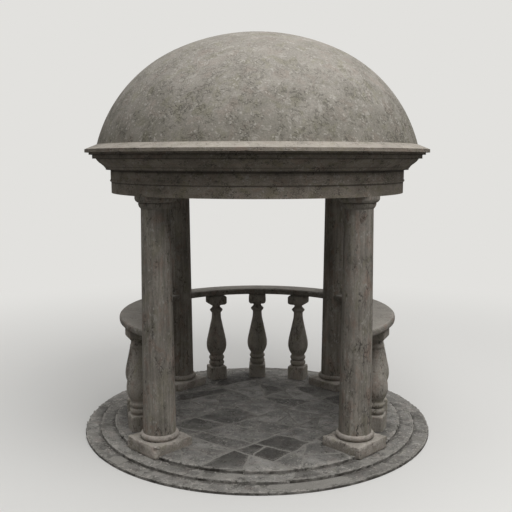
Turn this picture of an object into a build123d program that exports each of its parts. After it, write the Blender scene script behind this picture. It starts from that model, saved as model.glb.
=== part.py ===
"""Open stone rotunda: a domed garden temple on three low round steps.

Four columns carry a ring of architrave stones, a ring of cornice stones and a dome.
Balustrades close the left, back and right bays, and the front bay is the way in.
Millimetres, +Z up, front towards -Y, origin at the centre of the lowest step's underside.
"""
import os
from math import copysign, cos, radians, sin

from build123d import *

os.makedirs("parts", exist_ok=True)

# Steps and floor
base_radius = 1800.0
step_tread = 147.0
step_rise = 28.5
step_nosing = 6.0
step_names = ("lower_step", "middle_step", "floor_slab")

# Columns, each with plinth, base moulding, shaft and capital
column_setback = 199.0
column_azimuths = {"front_left": 225.0, "front_right": 315.0, "back_right": 45.0, "back_left": 135.0}
plinth_side = 442.0
plinth_height = 85.0
plinth_corner = 18.0
plinth_rounding = 10.0
torus_radius = 183.0
torus_height = 55.0
torus_bulge = 24.0
shaft_foot_radius = 155.0
shaft_head_radius = 133.0
shaft_height = 2102.0
echinus_radius = 156.0
echinus_height = 50.0
capital_groove_depth = 7.0
capital_groove_height = 6.0
flare_foot_radius = 160.0
flare_height = 32.0
flare_hollow = 5.0
abacus_radius = 187.0
abacus_height = 26.0

# Balustrades
balustrade_height = 1117.5
rail_width = 248.0
rail_thickness = 72.0
rail_rounding = 26.0
rail_facets = 3
rail_joint = 0.3
baluster_turn = 23.0
baluster_inset = 20.0
block_side = 201.0
block_height = 154.5
block_corner = 22.0
block_rounding = 16.0
cap_side = 209.0
cap_height = 124.0
cap_corner = 18.0
cap_rounding = 46.0
ring_radius = 94.0
ring_edge_radius = 84.0
ring_groove_radius = 73.0
belly_foot_radius = 80.0
belly_radius = 121.5
shoulder_radius = 114.0
nape_radius = 62.0
neck_radius = 55.5
collar_radius = 77.5
throat_radius = 48.0

# Heights on the turned part of a baluster, as shares of it from the block up to the cap
lower_ring_shares = (0.022, 0.087)
upper_ring_shares = (0.108, 0.164)
belly_foot_share = 0.190
belly_share = 0.346
shoulder_share = 0.443
nape_share = 0.756
neck_share = 0.836
collar_shares = (0.871, 0.906, 0.922, 0.961)

# Architrave
architrave_width = 339.0
lower_fascia_height = 104.0
band_height = 23.0
band_projection = 12.0
band_face_share = 0.5
upper_fascia_height = 100.0
upper_fascia_projection = 5.0

# Cornice
bed_projection = 50.0
bed_height = 8.0
cyma_projection = 95.0
cyma_height = 99.0
cyma_swell_share = 0.04
fillet_projection = 34.0
fillet_height = 38.0
upper_fillet_projection = 32.0
upper_fillet_height = 22.0
corona_projection = 39.0
corona_height = 30.0
weathering_run = 119.5
weathering_rise = 49.0

# Dome
dome_rise = 1099.0
dome_crown_radius = 1969.0
dome_foot_thickness = 180.0
dome_crown_thickness = 100.0
crown_half_angle = 26.0

# Names and azimuths of the quarter rings, each counted anticlockwise from its first end
quarter_turn = 90.0
architrave_starts = {"front": 225.0, "right": 315.0, "back": 45.0, "left": 135.0}
cornice_starts = {"front_left": 180.0, "front_right": 270.0, "back_right": 0.0, "back_left": 90.0}
rail_starts = {"right": 315.0, "back": 45.0, "left": 135.0}
baluster_places = {
    "right": ("front", "middle", "back"),
    "back": ("right", "middle", "left"),
    "left": ("back", "middle", "front"),
}

# Radii and levels worked out from the sizes above
floor_radius = base_radius - (len(step_names) - 1) * step_tread
column_circle = floor_radius - column_setback
baluster_circle = column_circle - baluster_inset
floor_top = len(step_names) * step_rise
plinth_foot = floor_top - step_rise
plinth_top = floor_top + plinth_height
torus_top = plinth_top + torus_height
shaft_top = torus_top + shaft_height
echinus_top = shaft_top + echinus_height
groove_top = echinus_top + capital_groove_height
flare_top = groove_top + flare_height
capital_top = flare_top + abacus_height

rail_top = floor_top + balustrade_height
rail_underside = rail_top - rail_thickness
block_top = floor_top + block_height
cap_underside = rail_underside - cap_height
turned_height = cap_underside - block_top

ring_inner_radius = column_circle - architrave_width / 2
fascia_radius = column_circle + architrave_width / 2
upper_fascia_radius = fascia_radius + upper_fascia_projection
band_radius = fascia_radius + band_projection
lower_fascia_top = capital_top + lower_fascia_height
band_top = lower_fascia_top + band_height
architrave_top = band_top + upper_fascia_height

bed_radius = fascia_radius + bed_projection
cyma_radius = bed_radius + cyma_projection
fillet_radius = cyma_radius + fillet_projection
upper_fillet_radius = fillet_radius + upper_fillet_projection
corona_radius = upper_fillet_radius + corona_projection
bed_top = architrave_top + bed_height
cyma_top = bed_top + cyma_height
fillet_top = cyma_top + fillet_height
upper_fillet_top = fillet_top + upper_fillet_height
corona_top = upper_fillet_top + corona_height
cornice_top = corona_top + weathering_rise

dome_foot_radius = corona_radius - weathering_run
inner_foot_radius = dome_foot_radius - dome_foot_thickness
inner_crown_radius = dome_crown_radius - dome_crown_thickness
crown_centre_level = cornice_top + dome_rise - dome_crown_radius
crown_edge_angle = quarter_turn - crown_half_angle


def on_circle(azimuth, distance, height=0):
    """The point at a distance from the rotunda's axis, at an azimuth and a height."""
    angle = radians(azimuth)
    return (distance * cos(angle), distance * sin(angle), height)


def upright_plane(azimuth, distance=0):
    """An upright plane at a point on a circle: its x points outwards and its y points up."""
    return Plane(
        origin=on_circle(azimuth, distance),
        x_dir=on_circle(azimuth, 1),
        z_dir=on_circle(azimuth - quarter_turn, 1),
    )


def level_plane(azimuth, distance, height):
    """A level plane at a point on a circle: its x points outwards."""
    return Plane(origin=on_circle(azimuth, distance, height), x_dir=on_circle(azimuth, 1), z_dir=(0, 0, 1))


def upright_axis(azimuth, distance):
    """The vertical axis through a point on a circle."""
    return Axis(on_circle(azimuth, distance), (0, 0, 1))


def turned_level(share):
    """The height of a point on a baluster's turned part."""
    return block_top + share * turned_height


def shaft_outline(gap=0):
    """The half outline of a column's shaft, standing off it by a gap."""
    Polyline(
        (0, torus_top),
        (shaft_foot_radius + gap, torus_top),
        (shaft_head_radius + gap, shaft_top),
        (0, shaft_top),
        close=True,
    )


def rounded_square(side, corner):
    """A square with its corners rounded."""
    with BuildSketch(Plane.XY) as outline:
        Rectangle(side, side)
        fillet(outline.vertices(), corner)
    return outline.sketch


def rail_outline():
    """The section of a handrail, its four edges rounded off in flat facets."""
    points = []
    for quarter in range(4):
        out = on_circle(quarter * quarter_turn + quarter_turn / 2, 1)
        centre_radius = column_circle + copysign(rail_width / 2 - rail_rounding, out[0])
        centre_level = rail_underside + rail_thickness / 2 + copysign(rail_thickness / 2 - rail_rounding, out[1])
        for facet in range(rail_facets + 1):
            corner = on_circle(quarter_turn * (quarter + facet / rail_facets), rail_rounding)
            points.append((centre_radius + corner[0], centre_level + corner[1]))
    Polyline(*points, close=True)


def baluster_outline():
    """The half outline of a baluster's turned part: two rings, a vase, a collar and a throat."""
    collar = [turned_level(share) for share in collar_shares]
    belly_foot = Vector(belly_foot_radius, turned_level(belly_foot_share))
    belly = Vector(belly_radius, turned_level(belly_share))
    shoulder = Vector(shoulder_radius, turned_level(shoulder_share))
    nape = Vector(nape_radius, turned_level(nape_share))
    neck = Vector(neck_radius, turned_level(neck_share))
    foot = (ring_groove_radius, block_top)
    Line((0, block_top), foot)
    for shares, next_radius in ((lower_ring_shares, ring_groove_radius), (upper_ring_shares, belly_foot_radius)):
        low, high = [turned_level(share) for share in shares]
        Polyline(foot, (ring_groove_radius, low), (ring_edge_radius, low))
        ThreePointArc((ring_edge_radius, low), (ring_radius, (low + high) / 2), (ring_edge_radius, high))
        foot = (next_radius, high)
        Line((ring_edge_radius, high), foot)
    Line(foot, belly_foot)
    TangentArc(belly, belly_foot, tangent=(0, -1))
    TangentArc(belly, shoulder, tangent=(0, 1))
    Line(shoulder, nape)
    TangentArc(neck, nape, tangent=(0, -1))
    Polyline(
        neck,
        (neck_radius, collar[0]),
        (collar_radius, collar[1]),
        (collar_radius, collar[2]),
        (throat_radius, collar[3]),
        (throat_radius, cap_underside),
        (0, cap_underside),
        (0, block_top),
    )


# Three round slabs, each a tread narrower than the one below, the top one let out round the plinths
for index, name in enumerate(step_names):
    with BuildPart() as step:
        with BuildSketch(Plane.XY.offset(index * step_rise)):
            Circle(base_radius - index * step_tread)
        extrude(amount=step_rise)
        chamfer(step.edges().filter_by(GeomType.CIRCLE).sort_by(Axis.Z)[-1], step_nosing)
        if name == step_names[-1]:
            for azimuth in column_azimuths.values():
                with BuildSketch(level_plane(azimuth, column_circle, plinth_foot)):
                    add(rounded_square(plinth_side, plinth_corner))
                extrude(amount=step_rise, mode=Mode.SUBTRACT)
    step.part.label = name
    export_step(step.part, f"parts/{name}.step")

# Columns: plinth, base moulding, tapered shaft and round capital
for corner, azimuth in column_azimuths.items():
    with BuildPart() as plinth:
        with BuildSketch(level_plane(azimuth, column_circle, plinth_foot)):
            add(rounded_square(plinth_side, plinth_corner))
        extrude(amount=plinth_top - plinth_foot)
        fillet(plinth.faces().sort_by(Axis.Z)[-1].edges(), plinth_rounding)
    plinth.part.label = f"{corner}_plinth"
    export_step(plinth.part, f"parts/{corner}_plinth.step")

    with BuildPart() as torus:
        with BuildSketch(upright_plane(azimuth, column_circle)):
            with BuildLine():
                ThreePointArc(
                    (torus_radius - torus_bulge, plinth_top),
                    (torus_radius, plinth_top + torus_height / 2),
                    (torus_radius - torus_bulge, torus_top),
                )
                Polyline(
                    (torus_radius - torus_bulge, torus_top),
                    (0, torus_top),
                    (0, plinth_top),
                    (torus_radius - torus_bulge, plinth_top),
                )
            make_face()
        revolve(axis=upright_axis(azimuth, column_circle))
    torus.part.label = f"{corner}_base"
    export_step(torus.part, f"parts/{corner}_base.step")

    with BuildPart() as shaft:
        with BuildSketch(upright_plane(azimuth, column_circle)):
            with BuildLine():
                shaft_outline()
            make_face()
        revolve(axis=upright_axis(azimuth, column_circle))
    shaft.part.label = f"{corner}_shaft"
    export_step(shaft.part, f"parts/{corner}_shaft.step")

    with BuildPart() as capital:
        with BuildSketch(upright_plane(azimuth, column_circle)):
            with BuildLine():
                Line((0, shaft_top), (shaft_head_radius, shaft_top))
                TangentArc((echinus_radius, echinus_top), (shaft_head_radius, shaft_top), tangent=(0, -1))
                Polyline(
                    (echinus_radius, echinus_top),
                    (echinus_radius - capital_groove_depth, echinus_top),
                    (echinus_radius - capital_groove_depth, groove_top),
                    (flare_foot_radius, groove_top),
                )
                SagittaArc((flare_foot_radius, groove_top), (abacus_radius, flare_top), -flare_hollow)
                Polyline(
                    (abacus_radius, flare_top),
                    (abacus_radius, capital_top),
                    (0, capital_top),
                    (0, shaft_top),
                )
            make_face()
        revolve(axis=upright_axis(azimuth, column_circle))
    capital.part.label = f"{corner}_capital"
    export_step(capital.part, f"parts/{corner}_capital.step")

# Balustrades: each rail is a quarter ring cut back to the two shafts that it butts against
for side, start in rail_starts.items():
    with BuildPart() as rail:
        with BuildSketch(upright_plane(start)):
            with BuildLine():
                rail_outline()
            make_face()
        revolve(axis=Axis.Z, revolution_arc=quarter_turn)
        for azimuth in (start, start + quarter_turn):
            with BuildSketch(upright_plane(azimuth, column_circle)):
                with BuildLine():
                    shaft_outline(rail_joint)
                make_face()
            revolve(axis=upright_axis(azimuth, column_circle), mode=Mode.SUBTRACT)
    rail.part.label = f"{side}_rail"
    export_step(rail.part, f"parts/{side}_rail.step")

    # Balusters at even steps along the bay: square block, turned vase, square cap
    for index, place in enumerate(baluster_places[side]):
        azimuth = start + quarter_turn / 2 + (index - (len(baluster_places[side]) - 1) / 2) * baluster_turn

        with BuildPart() as baluster:
            with BuildSketch(level_plane(azimuth, baluster_circle, cap_underside)):
                add(rounded_square(cap_side, cap_corner))
            extrude(amount=cap_height)
            for turn in (0, quarter_turn):
                side_plane = Plane(
                    origin=on_circle(azimuth, baluster_circle, cap_underside + cap_height / 2),
                    x_dir=on_circle(azimuth + turn, 1),
                    z_dir=on_circle(azimuth + turn - quarter_turn, 1),
                )
                with BuildSketch(side_plane) as side_view:
                    Rectangle(cap_side, cap_height)
                    fillet(side_view.vertices().group_by(Axis.Z)[0], cap_rounding)
                extrude(amount=cap_side, both=True, mode=Mode.INTERSECT)
            with BuildSketch(level_plane(azimuth, baluster_circle, floor_top)):
                add(rounded_square(block_side, block_corner))
            block = extrude(amount=block_height)
            fillet(block.faces().sort_by(Axis.Z)[-1].edges(), block_rounding)
            with BuildSketch(upright_plane(azimuth, baluster_circle)):
                with BuildLine():
                    baluster_outline()
                make_face()
            revolve(axis=upright_axis(azimuth, baluster_circle))
        baluster.part.label = f"{side}_{place}_baluster"
        export_step(baluster.part, f"parts/{side}_{place}_baluster.step")

# Architrave: four quarter rings that meet over the columns
for side, start in architrave_starts.items():
    with BuildPart() as architrave:
        with BuildSketch(upright_plane(start)):
            with BuildLine():
                Polyline(
                    (ring_inner_radius, capital_top),
                    (fascia_radius, capital_top),
                    (fascia_radius, lower_fascia_top),
                    (band_radius, band_top - band_face_share * band_height),
                    (band_radius, band_top),
                    (upper_fascia_radius, band_top),
                    (upper_fascia_radius, architrave_top),
                    (ring_inner_radius, architrave_top),
                    close=True,
                )
            make_face()
        revolve(axis=Axis.Z, revolution_arc=quarter_turn)
    architrave.part.label = f"{side}_architrave"
    export_step(architrave.part, f"parts/{side}_architrave.step")

# Cornice: four quarter rings that meet over the middles of the architrave stones
for corner, start in cornice_starts.items():
    with BuildPart() as cornice:
        with BuildSketch(upright_plane(start)):
            with BuildLine():
                cyma_foot = Vector(bed_radius, bed_top)
                cyma_head = Vector(cyma_radius, cyma_top)
                cyma_middle = (cyma_foot + cyma_head) / 2
                Polyline(
                    (ring_inner_radius, cornice_top),
                    (ring_inner_radius, architrave_top),
                    (bed_radius, architrave_top),
                    (bed_radius, bed_top),
                )
                SagittaArc(cyma_foot, cyma_middle, cyma_swell_share * cyma_height)
                SagittaArc(cyma_middle, cyma_head, -cyma_swell_share * cyma_height)
                Polyline(
                    (cyma_radius, cyma_top),
                    (fillet_radius, cyma_top),
                    (fillet_radius, fillet_top),
                    (upper_fillet_radius, fillet_top),
                    (upper_fillet_radius, upper_fillet_top),
                    (corona_radius, upper_fillet_top),
                    (corona_radius, corona_top),
                    (dome_foot_radius, cornice_top),
                    (ring_inner_radius, cornice_top),
                )
            make_face()
        revolve(axis=Axis.Z, revolution_arc=quarter_turn)
    cornice.part.label = f"{corner}_cornice"
    export_step(cornice.part, f"parts/{corner}_cornice.step")

# Dome: one shell, its outside and inside each a wide crown arc that turns into a tighter haunch
with BuildPart() as dome:
    with BuildSketch(upright_plane(0)):
        with BuildLine():
            outside = CenterArc((0, crown_centre_level), dome_crown_radius, crown_edge_angle, crown_half_angle)
            inside = CenterArc((0, crown_centre_level), inner_crown_radius, crown_edge_angle, crown_half_angle)
            TangentArc(outside @ 0, (dome_foot_radius, cornice_top), tangent=-(outside % 0))
            TangentArc(inside @ 0, (inner_foot_radius, cornice_top), tangent=-(inside % 0))
            Line((dome_foot_radius, cornice_top), (inner_foot_radius, cornice_top))
            Line(outside @ 1, inside @ 1)
        make_face()
    revolve(axis=Axis.Z)
dome.part.label = "dome"
export_step(dome.part, "parts/dome.step")
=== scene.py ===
"""Lays the paving and weathers the stone of a domed garden rotunda."""

import math
import random

import bmesh
import bpy
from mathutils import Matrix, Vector
from mathutils.kdtree import KDTree


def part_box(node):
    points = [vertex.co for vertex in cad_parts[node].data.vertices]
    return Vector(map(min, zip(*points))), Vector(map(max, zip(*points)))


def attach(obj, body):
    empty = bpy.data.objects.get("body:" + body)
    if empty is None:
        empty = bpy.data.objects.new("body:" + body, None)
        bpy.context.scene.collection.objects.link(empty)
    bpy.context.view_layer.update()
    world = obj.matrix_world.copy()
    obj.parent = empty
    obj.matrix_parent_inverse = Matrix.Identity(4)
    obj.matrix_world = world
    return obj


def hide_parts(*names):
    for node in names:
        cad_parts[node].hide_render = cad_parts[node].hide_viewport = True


bl_info = {
    "name": "Stone Rotunda",
    "version": (1, 0, 0),
    "blender": (4, 5, 0),
    "location": "3D View > Sidebar > Rotunda",
    "description": "Lays the paving and weathers the stone of a domed garden rotunda",
    "category": "Object",
}

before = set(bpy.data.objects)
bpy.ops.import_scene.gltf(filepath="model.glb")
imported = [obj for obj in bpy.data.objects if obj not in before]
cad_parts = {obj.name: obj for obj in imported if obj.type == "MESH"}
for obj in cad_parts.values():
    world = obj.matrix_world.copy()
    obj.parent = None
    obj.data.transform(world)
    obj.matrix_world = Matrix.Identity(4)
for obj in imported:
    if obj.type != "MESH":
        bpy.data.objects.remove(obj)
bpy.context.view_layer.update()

CORNERS = ("front_left", "front_right", "back_right", "back_left")
BAYS = {
    "right": ("front", "middle", "back"),
    "back": ("right", "middle", "left"),
    "left": ("back", "middle", "front"),
}
QUARTERS = ("front", "right", "back", "left")
BALUSTERS = [f"{bay}_{place}_baluster" for bay in BAYS for place in BAYS[bay]]
RAILS = [f"{bay}_rail" for bay in BAYS]

LOWER_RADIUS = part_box("lower_step")[1].y
LOWER_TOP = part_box("lower_step")[1].z
MIDDLE_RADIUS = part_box("middle_step")[1].y
MIDDLE_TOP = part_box("middle_step")[1].z
FLOOR_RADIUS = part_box("floor_slab")[1].y
FLOOR_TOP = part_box("floor_slab")[1].z
ARCHITRAVE_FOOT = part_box("front_architrave")[0].z
CORNICE_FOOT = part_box("front_left_cornice")[0].z

# Painted shade along the creases between the mouldings: level, reach and strength
ENTABLATURE_CREASE_SHADE = (
    (ARCHITRAVE_FOOT + 0.104, 0.009, 0.5),
    (CORNICE_FOOT - 0.006, 0.017, 0.6),
    (CORNICE_FOOT + 0.029, 0.006, 0.3),
    (CORNICE_FOOT + 0.107, 0.009, 0.5),
    (CORNICE_FOOT + 0.145, 0.009, 0.5),
)

# Top end of the crack on the front right shaft, in metres
SHAFT_CRACK = Vector((0.928, -1.02, 0.35))

# Plinth corners that are broken off, by the point in metres round which they are
BROKEN_CORNERS = {"front_left": Vector((-0.924, -1.24, 0.165))}

# Joints laid out first, in the order they are cut, each by two floor points in metres
LEADING_JOINTS = (
    ((-0.60, -1.46), (0.70, 0.32)),
    ((-0.25, -1.03), (0.16, -1.34)),
    ((0.14, -1.32), (0.81, -0.51)),
    ((-0.12, -0.85), (0.29, -1.08)),
    ((0.04, -0.59), (0.44, -0.81)),
    ((-0.03, -1.15), (0.07, -0.98)),
    ((-0.90, -0.87), (0.20, -0.10)),
    ((-0.90, -0.45), (-0.10, 0.30)),
    ((0.10, -0.35), (0.80, -0.62)),
)

# Floor points that lie on the darkest stones
DARK_STONES = ((0.20, -0.80), (0.13, -1.13), (-0.10, -0.98), (-0.15, -1.25))

# Shade of the darkest stones and of the others, from 0 for dark to 1 for pale
DARK_TONES = (0.0, 0.15)
TONES = (0.2, 1.0)

# Sides of the polygons that stand for the round edges of the floor, the steps and the mortar
FLOOR_SIDES = 160
STEP_SIDES = 192
MORTAR_SIDES = 128

# Stones in each step, and how far they reach under the step above
MIDDLE_STONES = 26
LOWER_STONES = 28
UNDERLAP = 0.04

# Joints between step stones: furthest turn of the first, random share of their spacing and random skew
FIRST_STEP_JOINT = 0.2
STEP_SPACING = 0.32
STEP_SKEW = 0.6

# Cosine of the turn within which a step joint cuts
STEP_CUT_REACH = 0.992

# Random shift, as a share of its length, and random turn of the cut that splits a flagstone
SPLIT_SHIFT = 0.12
SPLIT_TURN = 0.45

# Share of the largest area past which a flagstone may be split once more
SPLIT_SHARE = 0.6

# Random height and slope of the stones
SETTLING = (-0.0022, 0.0002)
TILT = 0.004

# Width and rise of each easing round the top of a stone, and the height that they add
EASINGS = ((0.004, 0.004), (0.009, 0.002))
EASED_HEIGHT = sum(rise for _, rise in EASINGS)

# Shortest sides of a stone before and after its joints are opened
SHORTEST_SIDE = 0.028
SHORTEST_OPENED_SIDE = 0.008

# Round edge that keeps its line, and the width over which the joints begin to wander
STILL_EDGE = 0.012
STILL_FADE = 0.12

# Reach of the chips in from the nosing of a step and down from its top, and the width of their fade
NOSING_REACH = 0.03
NOSING_FADE = 0.02
NOSING_DEPTH = 0.016

# Grain of the noise that bends the joints, chips the nosings and plinths, and breaks a corner
WANDER_GRAIN = 0.17
NOSING_GRAIN = 0.045
PLINTH_GRAIN = 0.06
BREAK_GRAIN = 0.03

# Share of the grid by which its lines miss the middle
GRID_SHIFT = 0.37

# Spacing of the points that stand for the outline of a stone
OUTLINE_SPACING = 0.01

# Gap that keeps two faces from lying in one plane
CLEARANCE = 0.001

# Angle past which an edge looks sharp
SHARP_ANGLE = math.radians(40)

# Far point off every axis of symmetry: distances from it put vertices and faces in a fixed order
ORDER_POINT = (7.3, 11.9, 3.1)

# Studio: radius of the floor, widths of its rings from the outside in, and the lamp
GROUND_RADIUS = 90
GROUND_RINGS = (55, 20, 8, 4)
LAMP_PLACE = Vector((2.2, -4.2, 8.2))
LAMP_TARGET = Vector((0, 0, 2))
LAMP_SIZE = 6.0


def eight_bit(red, green, blue):
    """Linear colour of an eight-bit screen colour."""
    shares = (red / 255, green / 255, blue / 255)
    return tuple(s / 12.92 if s <= 0.04045 else ((s + 0.055) / 1.055) ** 2.4 for s in shares)


def colour(name, description, red, green, blue):
    """Colour property with a screen colour as its default."""
    return bpy.props.FloatVectorProperty(
        name=name,
        description=description,
        subtype="COLOR",
        size=3,
        min=0,
        max=1,
        default=eight_bit(red, green, blue),
    )


def length(name, description, default):
    """Length property in metres."""
    return bpy.props.FloatProperty(
        name=name, description=description, unit="LENGTH", min=0, precision=4, default=default
    )


class RotundaPaving(bpy.types.PropertyGroup):
    """Sizes and colours of the floor and steps."""

    joint: length("Joint", "Width of the mortar joint between two flagstones", 0.009)
    step_joint: length("Step joint", "Width of the mortar joint between two step stones", 0.0072)
    mortar_depth: length("Mortar depth", "How far the mortar lies below the stones", 0.003)
    mortar_setback: length("Mortar setback", "How far the mortar lies behind the edges of the steps", 0.016)
    grid: length("Grid", "Spacing of the cuts that let a stone's outline wander", 0.032)
    wander: length("Wander", "How far the joints stray from straight", 0.070)
    rim: length("Rim", "How far the paler rim reaches into a stone", 0.045)
    chip: length("Chip", "Depth of the chips along the outer edges of the steps", 0.014)
    largest: bpy.props.FloatProperty(
        name="Largest stone",
        description="Area past which a flagstone is split",
        unit="AREA",
        min=0.02,
        default=0.19,
    )
    seed: bpy.props.IntProperty(
        name="Seed", description="Number that fixes the layout of the floor", default=11
    )
    step_seed: bpy.props.IntProperty(
        name="Step seed", description="Number that fixes the layout of the steps", default=1
    )
    pale: colour("Pale stone", "Colour of the palest flagstones", 140, 138, 134)
    dark: colour("Dark stone", "Colour of the darkest flagstones", 80, 78, 75)
    tread: colour("Tread", "Colour of the step stones", 156, 153, 147)
    mortar: colour("Mortar", "Colour of the joints", 150, 147, 141)


class RotundaPlinths(bpy.types.PropertyGroup):
    """Shape and wear of the column plinths."""

    side: length("Side", "Width of a plinth", 0.442)
    rounding: length("Rounding", "Rounding of its edges before wear", 0.012)
    grain: length("Grain", "Spacing of the mesh that the wear is cut in", 0.009)
    wear: length("Wear", "Depth of the chips along the edges", 0.016)
    wear_reach: length("Wear reach", "How far the chips reach in from the edges", 0.04)
    break_depth: length("Break depth", "Depth of the broken corner", 0.085)
    break_reach: length("Break reach", "How far the broken corner reaches", 0.085)


class RotundaStone(bpy.types.PropertyGroup):
    """Colours of the weathered stone."""

    column: colour("Column", "Main colour of the shafts", 150, 144, 135)
    footing: colour("Footing", "Main colour of the plinths and bases", 167, 160, 152)
    balustrade: colour("Balustrade", "Main colour of the balusters and rails", 164, 158, 149)
    entablature: colour("Entablature", "Main colour of the architrave and cornice", 145, 137, 126)
    dome: colour("Dome", "Main colour of the dome", 152, 147, 139)
    # Also the colour that upward faces are painted towards, as painted light with some bleaching
    lit_and_bleached: colour("Bleached", "Colour of the pale flecks and the bleached tops", 190, 185, 177)
    # Also the colour of the painted shade in the creases, on the risers and at the foot of the steps
    crack: colour("Crack", "Colour in the cracks and pits", 52, 48, 43)
    moss: colour("Moss", "Cast of the olive patches", 228, 229, 204)
    blush: colour("Blush", "Cast of the pinkish patches", 255, 238, 232)


class RotundaStage(bpy.types.PropertyGroup):
    """Floor, light and camera."""

    ground: colour("Ground", "Colour of the studio floor", 226, 225, 222)
    sky: bpy.props.FloatProperty(name="Sky", description="Strength of the even light", min=0, default=0.69)
    lamp: bpy.props.FloatProperty(
        name="Lamp", description="Power of the overhead lamp", unit="POWER", min=0, default=345
    )
    lens: bpy.props.FloatProperty(name="Lens", description="Focal length", unit="CAMERA", default=50.21)
    distance: length("Distance", "How far the camera stands from the middle", 7.409)
    height: length("Height", "How high the camera stands", 2.774)
    pitch: bpy.props.FloatProperty(
        name="Pitch", description="How far the camera looks down", subtype="ANGLE", default=math.radians(7.751)
    )
    shift: bpy.props.FloatProperty(
        name="Shift", description="Sideways shift of the picture, as a share of its width", default=-0.00244
    )


def start_clean():
    """Leave edit mode and deselect everything."""
    if bpy.context.object and bpy.context.object.mode != "OBJECT":
        bpy.ops.object.mode_set(mode="OBJECT")
    bpy.ops.object.select_all(action="DESELECT")


def edit(piece):
    """Open a piece in edit mode with all of it selected."""
    bpy.context.view_layer.objects.active = piece
    bpy.ops.object.mode_set(mode="EDIT")
    bpy.ops.mesh.select_mode(type="FACE")
    bpy.ops.mesh.select_all(action="SELECT")


def leave(piece):
    """Go back to object mode with only the piece selected."""
    bpy.ops.object.mode_set(mode="OBJECT")
    bpy.ops.object.select_all(action="DESELECT")
    piece.select_set(True)
    bpy.context.view_layer.objects.active = piece


def pick_faces(piece, test):
    """Select the faces that pass a test, and no others."""
    bpy.ops.mesh.select_all(action="DESELECT")
    bm = bmesh.from_edit_mesh(piece.data)
    for face in bm.faces:
        if test(face):
            face.select_set(True)
    bmesh.update_edit_mesh(piece.data)


def pick_edges(piece, test):
    """Select the edges that pass a test, and no others."""
    bpy.ops.mesh.select_mode(type="EDGE")
    bpy.ops.mesh.select_all(action="DESELECT")
    bm = bmesh.from_edit_mesh(piece.data)
    for edge in bm.edges:
        edge.select_set(test(edge))
    bmesh.update_edit_mesh(piece.data)


def dress(piece, material, slot, *nodes):
    """Give a new piece its finish and its place in the object."""
    piece.data.materials.clear()
    piece.data.materials.append(material)
    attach(piece, "root")
    if nodes:
        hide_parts(*nodes)


def coat(material, *nodes):
    """Put a finish on CAD nodes that keep their own shape."""
    for name in nodes:
        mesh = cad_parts[name].data
        mesh.materials.clear()
        mesh.materials.append(material)


def turn_profile(name, points, steps):
    """Spin a profile of radius and height pairs round the upright axis."""
    start_clean()
    radius, height = points[0]
    bpy.ops.mesh.primitive_plane_add(size=0.01, location=(radius, 0, height))
    piece = bpy.context.object
    piece.name = name
    bpy.ops.object.transform_apply(location=True)
    edit(piece)
    bpy.ops.mesh.merge(type="CENTER")
    bpy.ops.mesh.select_mode(type="VERT")
    bpy.ops.mesh.select_all(action="SELECT")
    for (r0, z0), (r1, z1) in zip(points, points[1:]):
        bpy.ops.mesh.extrude_region_move(TRANSFORM_OT_translate={"value": (r1 - r0, 0, z1 - z0)})
    bpy.ops.mesh.select_all(action="SELECT")
    bpy.ops.mesh.spin(steps=steps, angle=math.tau, center=(0, 0, 0), axis=(0, 0, 1))
    bpy.ops.mesh.select_all(action="SELECT")
    bpy.ops.mesh.remove_doubles(threshold=0.00002)
    bpy.ops.mesh.normals_make_consistent(inside=False)
    leave(piece)
    return piece


def weigh(piece, name, share):
    """Group the vertices of a piece with weights from a function of their place."""
    group = piece.vertex_groups.new(name=name)
    for vert in piece.data.vertices:
        group.add([vert.index], min(max(share(vert.co), 0), 1), "REPLACE")


def displace(piece, direction, strength, basis, size, group, level=0.5, contrast=1.0, lift=1.0):
    """Push a vertex group of a piece about with soft noise, and apply it."""
    noise = bpy.data.textures.new(f"{piece.name}_{direction.lower()}_noise", "CLOUDS")
    noise.noise_basis = basis
    noise.noise_scale = size
    noise.noise_depth = 2
    noise.contrast = contrast
    noise.intensity = lift
    bpy.context.view_layer.objects.active = piece
    bpy.ops.object.modifier_add(type="DISPLACE")
    push = piece.modifiers[-1]
    push.texture = noise
    push.texture_coords = "LOCAL"
    push.direction = direction
    push.strength = strength
    push.mid_level = level
    push.vertex_group = group
    bpy.ops.object.modifier_apply(modifier=push.name)


def chip(piece, depth, size, group):
    """Knock chips out of a vertex group of a piece."""
    displace(piece, "NORMAL", -depth, "BLENDER_ORIGINAL", size, group, level=0.0, contrast=2.2, lift=0.75)


# Paving


def holds(face, spot):
    """Whether a floor point lies inside a flat convex face."""
    corners = [vert.co for vert in face.verts]
    turns = [
        (b.x - a.x) * (spot[1] - a.y) - (b.y - a.y) * (spot[0] - a.x)
        for a, b in zip(corners, corners[1:] + corners[:1])
    ]
    return all(t > 0 for t in turns) or all(t < 0 for t in turns)


def set_order():
    """Select everything and put it in an order that only the places decide."""
    bpy.context.scene.cursor.location = ORDER_POINT
    bpy.ops.mesh.select_all(action="SELECT")
    bpy.ops.mesh.sort_elements(type="CURSOR_DISTANCE", elements={"VERT", "EDGE", "FACE"})
    bpy.context.scene.cursor.location = (0, 0, 0)


def cut(piece, test, spot, course):
    """Cut the faces that pass a test along an upright plane."""
    pick_faces(piece, test)
    bpy.ops.mesh.bisect(plane_co=(spot[0], spot[1], 0), plane_no=(-course[1], course[0], 0))


def lay_joint(piece, start, end, samples=24):
    """Cut a joint through the stones that a line between two floor points crosses."""
    spots = [
        [a + (b - a) * (i + 0.5) / samples for a, b in zip(start, end)] for i in range(samples)
    ]
    course = [b - a for a, b in zip(start, end)]
    cut(piece, lambda face: any(holds(face, spot) for spot in spots), start, course)


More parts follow.
